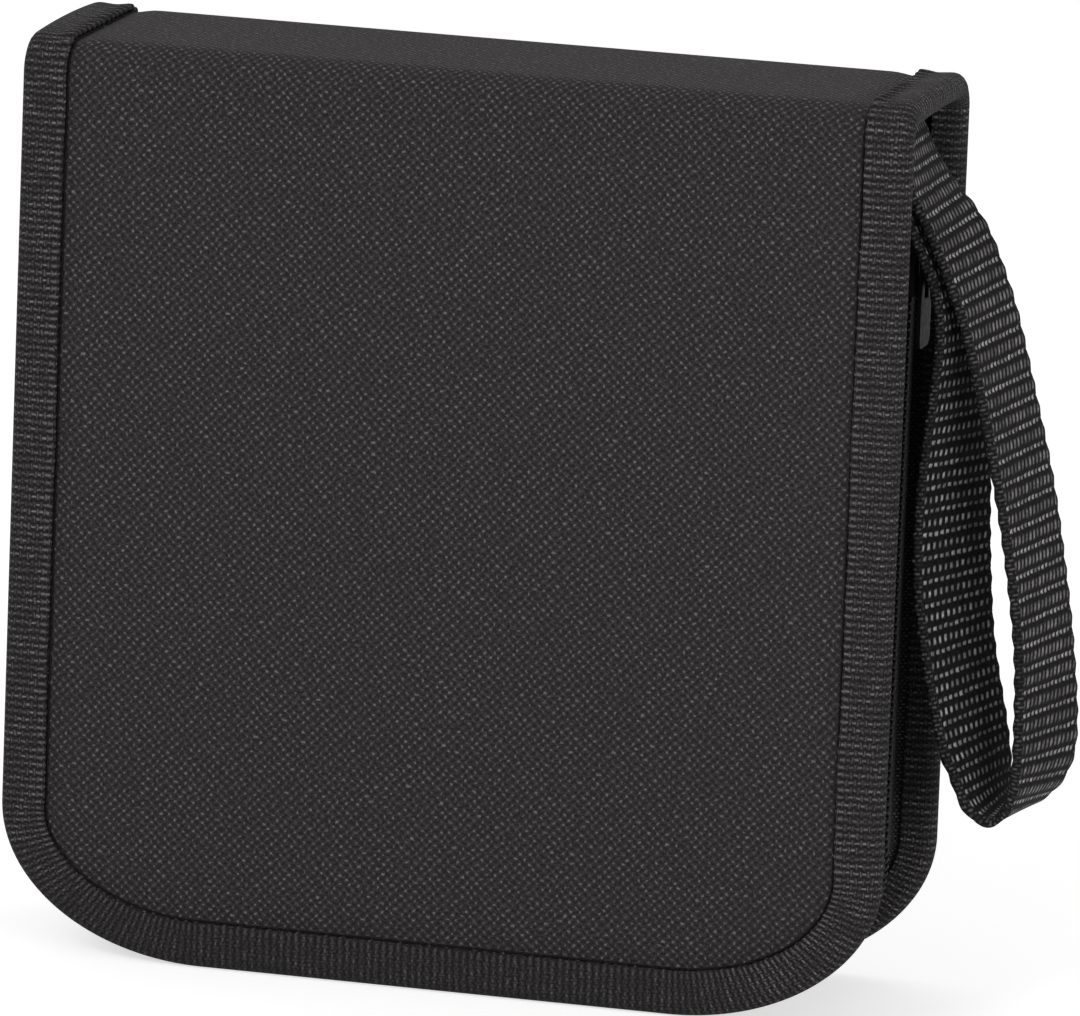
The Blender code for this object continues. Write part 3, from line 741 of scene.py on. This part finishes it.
def makeCover(name, side, form, finish, slot):
    # Columns run from the middle of the spine's top, over its rounded edge and down to the bottom outline.
    # The depth eases from the seam under the tape to the padded face, with a low crown and shallow ripples.
    reach = halfWidth - form["firstInset"]
    even = np.linspace(-1, 1, int(2 * reach / form["spacing"]))
    crowded = np.sin(even * math.pi / 2 * nearlyOne)  # the columns lie closer towards both sides
    across = reach * crowded * form["crowding"] + reach * even * (1 - form["crowding"])
    across[[0, -1]] = -reach, reach
    flat = halfDepth - caseForm["spineRadius"]
    bend = math.pi / 2 * caseForm["spineRadius"]
    low = bottomOf(across, form["firstInset"])
    whole = flat + bend + hingeHeight - low
    share = np.linspace(0, 1, int(whole.max() / form["spacing"]))[:, None]
    down = share * whole[None, :]
    turn = np.clip((down - flat) / caseForm["spineRadius"], 0, math.pi / 2)
    fall = np.clip(down - flat - bend, 0, None)
    x = np.broadcast_to(across[None, :], down.shape)
    y = np.minimum(down, flat) + caseForm["spineRadius"] * np.sin(turn)
    z = hingeHeight + caseForm["spineRadius"] * np.cos(turn) - fall
    inset = np.where(fall > 0, insetOf(x, np.maximum(z, 0)), halfWidth - np.abs(x))
    padded = ease(inset, form["riseFrom"], form["riseTo"])
    depth = form["edgeDepth"] + (form["faceDepth"] - form["edgeDepth"]) * padded
    crown = np.sin(np.clip(fall / (hingeHeight - low), 0, 1) * math.pi)
    depth = depth - form["crown"] * ease(inset, form["riseFrom"], form["crownTo"]) * crown
    rippled = ease(inset, form["riseFrom"], form["rippleTo"]) * ease(down, flat, flat + form["rippleAfter"])
    depth = depth + form["ripple"] * rippleOf(x, z, side) * rippled
    points = np.stack([x + caseX, side * (y - depth * np.sin(turn)), z - depth * np.cos(turn)], axis=2)
    uv = np.stack([x + mapShift["across"], side * down + mapShift["down"]], axis=2)
    piece = addSurface(name, points, uv, finish, slot)
    normal = np.cross(points[1, 1] - points[0, 1], points[0, 2] - points[0, 1])
    if normal[2] > 0:
        piece.data.flip_normals()
    return thicken(piece, form["thickness"], rim=False)  # a rim would draw a line along the spine


for name, form, finish, slot, nodes in (
    ("Cloth", clothForm, coverCloth, "outer_cloth", ("front_cover_fabric", "back_and_spine_fabric")),
    ("Lining", liningForm, liningCloth, "lining_cloth", ("front_cover_lining", "back_and_spine_lining")),
):
    front = makeCover("front" + name, -1, form, finish, slot)
    back = makeCover("back" + name, 1, form, finish, slot)
    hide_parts(nodes[0])
    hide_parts(nodes[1])
    fold(front)
    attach(back, "back_half")
print("outer cloth and linings are made")


# Binding tape and its stitches

bindingForm = {
    "outerLeg": 8.0 * mm, "innerLeg": 6.0 * mm, "flange": 4.9 * mm, "thickness": 0.9 * mm, "fold": 1.90 * mm,
    "spacing": 0.5 * mm, "sectionStep": 0.6 * mm, "foldSteps": 6,
    "pucker": 0.25 * mm, "puckerFrom": 1.6 * mm, "puckerTo": 0.4 * mm, "puckerEven": 0.85,
    "puckerWaves": ((0.25, 151), (0.20, 389)), "spinePucker": 1.2, "spineBlend": 4 * mm,
    "wave": 0.18 * mm, "waveFrom": 4 * mm, "waveTo": 7.5 * mm, "drawn": 0.10 * mm,
    "wanderWaves": ((0.5, 97), (0.3, 213), (0.2, 431)),
    "hood": 0.9 * mm, "hoodBelow": 2 * mm, "hoodAbove": 3 * mm, "hoodShort": 1 * mm,
}
stitchForm = {
    "pitch": 2.6 * mm, "inset": 8.30 * mm, "depth": 0.95 * mm, "radius": 0.25 * mm, "spacing": 0.35 * mm,
    "rows": 7, "sides": 6, "reach": 0.49, "taper": 0.75, "dip": 0.10 * mm,
}


def bindingSection(form):
    # The folded tape's middle line, from the outer leg's edge round the fold to the inner leg's edge
    half, radius = form["thickness"] / 2, form["fold"]
    angles = np.linspace(0, math.pi / 2, form["foldSteps"])
    near = np.stack([half + radius * (1 - np.sin(angles)), half + radius * (1 - np.cos(angles))], axis=1)
    far = near[::-1] * np.array([1, -1]) + np.array([0, form["flange"]])
    outerEnd = [form["outerLeg"] - half, half]
    innerEnd = [form["innerLeg"] - half, form["flange"] - half]
    return resample(np.vstack([outerEnd, near, far, innerEnd]), form["sectionStep"])


def makeBinding(name, side, form):
    # The tape's free edges are drawn down at each stitch and stand up between, more so over the spine's ends,
    # and they wander a little. Over the spine's ends the tape arches up, most along its outer edge.
    edge = coverEdge(side, form["spacing"])
    base, length = edge[0], edge[3]
    section = loopSection(bindingSection(form), form["thickness"])
    section = np.repeat(section[None], len(length), axis=0)
    inset, depth = section[..., 0], section[..., 1]
    atEdge = ease(inset, form["innerLeg"] - form["puckerFrom"], form["outerLeg"] - form["puckerTo"])
    uneven = form["puckerEven"] + waves(length, form["puckerWaves"], (side, 0))
    lift = (0.5 - 0.5 * np.cos(2 * math.pi * length / stitchForm["pitch"])) * uneven
    spineEnd = ease(base[:, 2], hingeHeight - form["spineBlend"], hingeHeight + form["spineBlend"])
    raised = lift * (1 + form["spinePucker"] * spineEnd)
    outer = np.where(depth < form["flange"] / 2, 1.0, -1.0)
    wander = waves(length, form["wanderWaves"], (side, 2.0, 0)) * form["wave"] + lift * form["drawn"]
    section[..., 1] -= outer * atEdge * raised[:, None] * form["pucker"]
    section[..., 0] += ease(inset, form["waveFrom"], form["waveTo"]) * wander[:, None]
    points, uv = sweepEdge(edge, section)
    low, high = hingeHeight - form["hoodBelow"], hingeHeight + form["hoodAbove"]
    arch = np.clip(1 - (points[..., 1] / halfDepth) ** 2, 0, 1) * ease(points[..., 2], low, high)
    points[..., 2] += form["hood"] * arch * (1 - ease(inset, 0, form["outerLeg"] - form["hoodShort"]))
    piece = addSurface(name, points, uv, bindingCloth, "binding_tape", closeAcross=True, capEnds=True)
    return faceOutwards(piece)


def makeStitches(name, side, form):
    # Short dark threads in the ditch beside the tape, all one mesh; each is an oval tube that dips at its
    # ends. They are real stitching, and their dark colour also stands in for the ditch's shade, a painted
    # shade.
    edge = coverEdge(side, form["spacing"])
    centres = np.arange(form["pitch"], edge[3][-1], form["pitch"])
    t = np.linspace(-1, 1, form["rows"])
    base, inwards, deeper = readEdge(edge, centres[:, None] + t[None, :] * form["pitch"] * form["reach"])
    radius = form["radius"] * np.sqrt(1 - form["taper"] * t**4)[:, None]
    angle = np.linspace(0, 2 * math.pi, form["sides"], endpoint=False)
    inset = (form["inset"] + radius * np.cos(angle))[None, ..., None]
    sunk = (form["depth"] + form["dip"] * t[:, None] ** 2 + radius * np.sin(angle))[None, ..., None]
    points = base[:, :, None] + inset * inwards[:, :, None] + sunk * deeper[:, :, None]
    count, rows, columns = points.shape[:3]
    left = np.arange(rows * columns).reshape(rows, columns)
    right = np.roll(left, -1, axis=1)
    quads = np.stack([left[:-1], right[:-1], right[1:], left[1:]], axis=-1).reshape(-1, 4)
    ends = np.stack([left[0, ::-1], left[-1]])
    shift = (np.arange(count) * rows * columns)[:, None, None]
    faces = (quads + shift).reshape(-1, 4).tolist() + (ends + shift).reshape(-1, columns).tolist()
    mesh = bpy.data.meshes.new(name)
    mesh.from_pydata(points.reshape(-1, 3), [], faces)
    mesh.materials.append(plainFinish["threadNylon"])
    mesh.shade_smooth()
    piece = linkObject(name, mesh)
    return faceOutwards(piece)


frontBinding = makeBinding("frontBinding", -1, bindingForm)
backBinding = makeBinding("backBinding", 1, bindingForm)
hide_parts("front_binding_tape")
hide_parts("back_binding_tape")
frontStitches = makeStitches("frontStitches", -1, stitchForm)
backStitches = makeStitches("backStitches", 1, stitchForm)
for piece in (frontBinding, frontStitches):
    fold(piece)
for piece in (backBinding, backStitches):
    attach(piece, "back_half")
print("binding and stitches are made")


# Zip: tapes and coils

zipForm = {
    "bend": ((1.6, 3.35), (6.6, 3.35), (7.3, 3.55), (7.7, 4.1), (7.8, 4.9)),
    "lean": ((7.3, 8.5), (6.6, 12.5), (6.15, 16.0), (6.0, 18.5)),
    "wall": 6.0 * mm, "toCentre": 0.55 * mm, "thickness": 0.7 * mm, "spacing": 1.5 * mm,
    "sectionStep": 0.8 * mm, "capSteps": 3,
    "leftTop": 152.4 * mm, "rightTop": 145.8 * mm, "besideSlider": 124.2 * mm, "sliderRoom": 5.6 * mm,
    "swell": 2.2 * mm, "swellFrom": 3.0 * mm, "swellTo": 29.0 * mm, "swellDepth": (5 * mm, 14 * mm),
}
coilForm = {
    "pitch": 1.5 * mm, "wire": 0.33 * mm, "inset": 4.90 * mm, "rise": 0.42 * mm, "middle": 1.45 * mm,
    "reach": 1.35 * mm, "partedReach": 0.85 * mm, "partedTo": 29.0 * mm,
    "spacing": 1.0 * mm, "turnSteps": 12, "sides": 5,
}
touch = 1e-6


def swellOf(base, form):
    # The zip stands out further round the lower corners and along the bottom than up the sides
    return form["swell"] * (1 - ease(base[:, 2], form["swellFrom"], form["swellTo"]))


def zipEdge(side, spacing, leftTop, rightTop):
    # the stretch of a cover's edge that the zip follows, up to its top on the left and on the right
    edge = coverEdge(side, spacing)
    base = edge[0]
    flatSide = np.abs(base[:, 1]) >= halfDepth - touch
    left = (base[:, 0] < caseX) & (base[:, 2] <= leftTop)
    right = (base[:, 0] >= caseX) & (base[:, 2] <= rightTop)
    rows = np.nonzero(flatSide & (left | right))[0]
    return [part[rows] for part in edge]


def makeZipTape(name, side, form):
    # A sewn leg, a tight bend and a wall that leans out to the teeth. The back tape is a closed strip. The
    # front one is an open sheet, because beside the slider its wall stops short.
    edge = zipEdge(side, form["spacing"], form["leftTop"], form["rightTop"])
    base = edge[0]
    end = halfDepth - form["toCentre"]
    line = np.vstack([np.array(form["bend"] + form["lean"]) * mm, [form["wall"], end]])
    sections = np.repeat(resample(line, form["sectionStep"])[None], len(base), axis=0)
    sections[..., 0] -= swellOf(base, form)[:, None] * ease(sections[..., 1], *form["swellDepth"])
    parked = (side < 0) & (base[:, 0] > caseX) & (base[:, 2] > form["besideSlider"])
    limit = np.where(parked, halfDepth - form["sliderRoom"], end)
    sections[..., 1] = np.minimum(sections[..., 1], limit[:, None])
    closed = not parked.any()
    if closed:
        sections = np.stack([loopSection(s, form["thickness"], form["capSteps"]) for s in sections])
    points, uv = sweepEdge(edge, sections)
    piece = addSurface(name, points, uv, zipCloth, "zip_tape_cloth", closeAcross=closed, capEnds=closed)
    return faceOutwards(piece) if closed else thicken(piece, form["thickness"], 0.0)


def makeCoil(name, side, form):
    # A round wire carried along a flattened helix that follows the cover's edge. The two coils reach into
    # each other, but stay just apart on the straight side where the slider's blade runs between them.
    top = zipForm["besideSlider"] if side < 0 else zipForm["rightTop"]
    edge = zipEdge(side, form["spacing"], zipForm["leftTop"], top)
    length = edge[3]
    turns = (length[-1] - length[0]) / form["pitch"]
    phase = np.linspace(0, turns, int(turns) * form["turnSteps"] + 1)
    base, inwards, deeper = readEdge(edge, length[0] + phase * form["pitch"])
    angle = 2 * math.pi * phase + (math.pi if side > 0 else 0.0)
    inset = form["inset"] - swellOf(base, zipForm) - form["rise"] * np.sin(angle)
    parted = ease(base[:, 2], caseForm["cornerRise"], form["partedTo"]) * (base[:, 0] > caseX)
    reach = form["reach"] + (form["partedReach"] - form["reach"]) * parted
    depth = halfDepth - form["middle"] + reach * np.cos(angle)
    path = base + inset[:, None] * inwards + depth[:, None] * deeper
    along = directions(path)
    first = np.cross(along, np.gradient(base, axis=0))
    first /= np.linalg.norm(first, axis=1)[:, None]
    second = np.cross(along, first)
    ring = np.linspace(0, 2 * math.pi, form["sides"], endpoint=False)[None, :, None]
    points = path[:, None] + form["wire"] * (np.cos(ring) * first[:, None] + np.sin(ring) * second[:, None])
    uv = np.zeros(points.shape[:2] + (2,))
    nylon = plainFinish["coilNylon"]
    return faceOutwards(addSurface(name, points, uv, nylon, "zip_coil_nylon", closeAcross=True, capEnds=True))


for name, side, body in (("front", -1, "front_half"), ("back", 1, "back_half")):
    tape = makeZipTape(name + "ZipTape", side, zipForm)
    coil = makeCoil(name + "ZipCoil", side, coilForm)
    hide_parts(name + "_zip_tape")
    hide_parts(name + "_zip_coil")
    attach(tape, body)
    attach(coil, body)
print("zip is made")


# Hand strap

strapForm = {
    "width": 20 * mm, "thickness": 1.5 * mm, "spacing": 0.4 * mm, "columns": 31, "edgeRound": 0.07,
    "rib": 4.0 * mm, "ribHeight": 0.36 * mm, "ribPower": 0.8, "ribSink": 0.6,
    "selvage": 0.22 * mm, "selvagePitch": 2.0 * mm, "selvageFrom": 0.9,
    "flatStart": (0.02, 0.06), "flatEnd": (0.94, 0.98), "curveSteps": 40,
    "route": (  # millimetres from the side, millimetres down from the top, degrees of twist
        (-9.3, 6.2, 0), (-7.0, 6.5, 0), (-5.6, 8.0, 0), (-4.6, 10.6, 1), (-3.2, 13.8, 3), (-1.5, 17.0, 6),
        (0.4, 19.8, 8), (2.5, 22.8, 11), (4.8, 26.8, 13), (7.7, 33.5, 13), (10.1, 40.2, 13), (13.8, 53.7, 13),
        (17.1, 67.3, 14), (19.7, 80.9, 14), (21.7, 94.7, 15), (22.6, 108.5, 18), (22.1, 115.5, 16),
        (19.8, 120.8, 8), (16.2, 123.2, 0), (13.1, 120.8, -9), (11.4, 115.0, -17), (9.8, 109.6, -22),
        (6.8, 95.9, -24), (5.1, 82.1, -27), (4.7, 68.2, -25), (5.2, 54.5, -20), (5.5, 41.5, -15),
        (4.0, 33.5, -11), (1.4, 27.6, -9), (-1.6, 22.4, -6), (-4.2, 17.8, -3), (-6.0, 14.0, -1),
        (-7.4, 11.2, 0), (-9.3, 9.6, 0),
    ),
}


def smoothRoute(form):
    # A Catmull-Rom curve through the route's points, read at even lengths
    p = np.array(form["route"]) * np.array([mm, mm, 1.0])
    p = np.vstack([2 * p[0] - p[1], p, 2 * p[-1] - p[-2]])
    t = np.linspace(0, 1, form["curveSteps"], endpoint=False)[None, :, None]
    a, b, c, d = (p[k:len(p) - 3 + k, None] for k in range(4))
    square = (2 * a - 5 * b + 4 * c - d) * t**2
    cube = (3 * b - a - 3 * c + d) * t**3
    curve = 0.5 * (2 * b + (c - a) * t + square + cube)
    curve = np.vstack([curve.reshape(-1, 3), p[-2]])
    curve[:, 1] = caseForm["height"] - curve[:, 1]
    length = arcLength(curve[:, :2])
    even = np.linspace(0, length[-1], int(round(length[-1] / form["spacing"])) + 1)
    return np.stack([np.interp(even, length, column) for column in curve.T], axis=1)


def makeStrap(form):
    # The webbing's section is a flat oval; its faces rise in a rounded rib every few millimetres, and its
    # edges swell out in small loops. Both fade away at the ends, which are sewn in flat.
    route = smoothRoute(form)
    turn = np.radians(route[:, 2])[:, None]
    route = route[:, :2]
    length = arcLength(route)
    along = directions(route)
    out = np.stack([-along[:, 1], np.zeros(len(route)), along[:, 0]], axis=1)
    depthwise = np.array([[0, 1, 0]])
    sideways = depthwise * np.cos(turn) + out * np.sin(turn)
    normal = out * np.cos(turn) - depthwise * np.sin(turn)
    centre = np.stack([caseX + halfWidth + route[:, 0], np.zeros(len(route)), route[:, 1]], axis=1)
    half, thin = form["width"] / 2, form["thickness"] / 2
    u = np.linspace(-1, 1, form["columns"])
    overEdge = np.clip((np.abs(u) - (1 - form["edgeRound"])) / form["edgeRound"], 0, 1)
    oval = np.sqrt(1 - overEdge**2)
    faceX = np.concatenate([u, u[-2:0:-1]]) * half
    faceZ = np.concatenate([oval, -oval[-2:0:-1]])
    share = length / length[-1]
    ribbed = ease(share, *form["flatStart"]) * (1 - ease(share, *form["flatEnd"]))
    ribs = np.abs(np.cos(math.pi * length / form["rib"])) ** form["ribPower"] - form["ribSink"]
    height = faceZ * thin + faceZ * (form["ribHeight"] * ribs * ribbed)[:, None]
    loops = form["selvage"] * np.cos(2 * math.pi * length / form["selvagePitch"]) * ribbed
    atEdge = ease(np.abs(faceX), half * form["selvageFrom"], half) * np.sign(faceX)
    across = faceX + atEdge * loops[:, None]
    points = centre[:, None] + across[..., None] * sideways[:, None] + height[..., None] * normal[:, None]
    mapAcross = np.concatenate([[0.0], np.cumsum(np.abs(np.diff(faceX)))])
    uv = np.stack(np.broadcast_arrays(mapAcross[None, :], length[:, None]), axis=2)
    piece = addSurface("handStrap", points, uv, strapWebbing, "strap_webbing", closeAcross=True, capEnds=True)
    return faceOutwards(piece)


handStrap = makeStrap(strapForm)
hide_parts("hand_strap")
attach(handStrap, "back_half")
print("hand strap is made")


# Sleeves on the first and the last page

sleeveForm = {
    "reach": 63.5 * mm, "top": 147.0 * mm, "lowInset": 14.0 * mm, "thickness": 0.12 * mm, "steps": 90,
    "thumbRun": 13.0 * mm, "thumbDrop": 11.0 * mm, "thumbPower": 4,
    "gap": 0.10 * mm, "puff": 0.50 * mm, "puffFrom": 1.5 * mm, "puffTo": 7.5 * mm, "puffEven": 0.7,
    "puffRates": (90, 40, 70), "weldPlace": 1.5 * mm, "weldWidth": 0.5 * mm, "weldHeight": 0.12 * mm,
}
pageLow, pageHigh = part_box("disc_sleeve_pages")


def makeSleeve(name, side, form):
    # A film pocket: flat along its welded edges, unevenly puffed inside, with a thumb hollow in its mouth
    u = np.linspace(-1, 1, form["steps"])[None, :]
    v = np.linspace(0, 1, form["steps"])[:, None]
    x = u * form["reach"]
    mouth = form["top"] - form["thumbDrop"] * np.exp(-((x / form["thumbRun"]) ** form["thumbPower"]))
    low = bottomOf(x, form["lowInset"])
    z = mouth + (low - mouth) * v
    fromEdge = np.minimum(form["reach"] - np.abs(x), z - low)
    a, b, c = form["puffRates"]
    uneven = form["puffEven"] + (1 - form["puffEven"]) * np.sin(x * a + z * b) * np.sin(z * c)
    puff = ease(fromEdge, form["puffFrom"], form["puffTo"]) * uneven
    weld = np.exp(-(((fromEdge - form["weldPlace"]) / form["weldWidth"]) ** 2))
    face = pageHigh[1] if side > 0 else pageLow[1]
    y = face + side * (form["gap"] + form["puff"] * puff + form["weldHeight"] * weld)
    points = np.stack(np.broadcast_arrays(x + caseX, y, z), axis=2)
    piece = addSurface(name, points, points[..., [0, 2]], plainFinish["sleeveFilm"], "sleeve_pages")
    if side > 0:
        piece.data.flip_normals()
    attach(piece, "back_half")
    thicken(piece, form["thickness"], 1.0)


makeSleeve("frontSleeve", -1, sleeveForm)
makeSleeve("backSleeve", 1, sleeveForm)
print("sleeves are made")


# Pieces that keep their CAD shape

foamNodes = ("front_cover_padding", "back_cover_padding", "spine_padding")
keptFinish = {
    plainFinish["foamSheet"]: foamNodes,
    plainFinish["boardFibre"]: ("front_cover_board", "back_cover_board", "spine_board"),
    liningCloth: ("page_binding_strip",),
    plainFinish["pageEdges"]: ("disc_sleeve_pages",),
    plainFinish["sliderMetal"]: ("zip_slider", "zip_pull_tab"),
}
for finish, nodes in keptFinish.items():
    for node in nodes:
        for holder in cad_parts[node].material_slots:
            holder.material = finish
print("kept CAD pieces have their finish")
